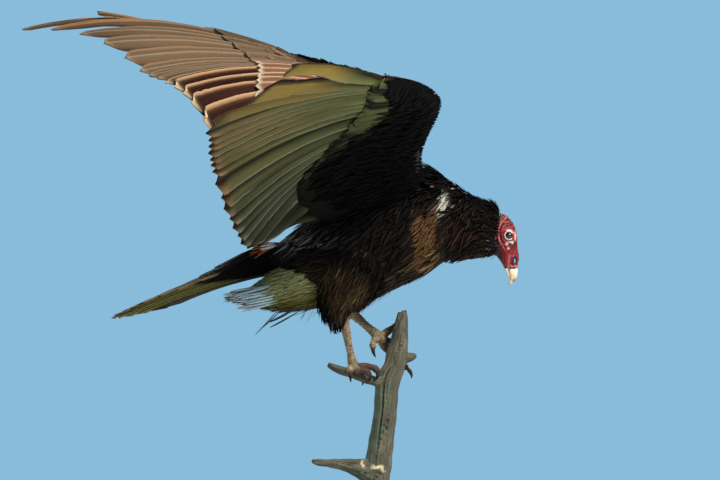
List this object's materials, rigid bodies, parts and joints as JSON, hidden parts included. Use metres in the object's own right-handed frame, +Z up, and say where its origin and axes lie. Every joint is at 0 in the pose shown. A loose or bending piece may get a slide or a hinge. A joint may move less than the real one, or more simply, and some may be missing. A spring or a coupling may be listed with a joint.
{
  "type": "turkey vulture",
  "caption": "Life-size turkey vulture with both wings raised and swept back, balancing with bowed head on the tip of a dead snag, held on a plain display stand.",
  "frame": {"origin": "centre of the display stand's underside", "axes": "+X is the way the bird's body faces, +Y is its left side, +Z is up"},
  "size_m": [0.6297, 1.0365, 0.8721],
  "materials": {
    "plumage": "soft black-brown contour feathers",
    "coverts": "layered blackish wing coverts",
    "flight_feathers": "silvery olive-grey below, worn brown above",
    "pale_down": "loose pale undertail feathers",
    "red_skin": "bare wrinkled crimson skin",
    "leg_skin": "scaly pinkish-grey skin",
    "ivory_bill": "ivory horn",
    "claw_horn": "black horn",
    "eye": "wet dark brown",
    "deadwood": "weathered grey deadwood with cracks and lichen",
    "stand_wood": "dark satin wood",
    "stand_steel": "brushed"
  },
  "bodies": {
    "root": {"stand_base": "stand_wood", "stand_collar": "stand_steel", "stand_rod": "stand_steel", "perch": "deadwood", "belly": "plumage", "chest": "plumage", "neck": "plumage", "vent": "pale_down", "head": "red_skin", "eye_right": "eye", "eye_left": "eye", "bill_upper": "ivory_bill", "bill_lower": "ivory_bill", "thigh_right": "plumage", "thigh_left": "plumage", "shank_right": "leg_skin", "shank_left": "leg_skin", "toe_right_hallux": "leg_skin", "toe_right_inner": "leg_skin", "toe_right_middle": "leg_skin", "toe_right_outer": "leg_skin", "toe_left_hallux": "leg_skin", "toe_left_inner": "leg_skin", "toe_left_middle": "leg_skin", "toe_left_outer": "leg_skin", "claw_right_hallux": "claw_horn", "claw_right_inner": "claw_horn", "claw_right_middle": "claw_horn", "claw_right_outer": "claw_horn", "claw_left_hallux": "claw_horn", "claw_left_inner": "claw_horn", "claw_left_middle": "claw_horn", "claw_left_outer": "claw_horn", "tail": "flight_feathers", "wing_right_upper_arm": "coverts", "wing_right_forearm": "coverts", "wing_right_hand": "coverts", "wing_right_tertials": "flight_feathers", "wing_right_secondaries": "flight_feathers", "wing_right_primaries": "flight_feathers", "wing_left_upper_arm": "coverts", "wing_left_forearm": "coverts", "wing_left_hand": "coverts", "wing_left_tertials": "flight_feathers", "wing_left_secondaries": "flight_feathers", "wing_left_primaries": "flight_feathers"}
  },
  "joints": []
}
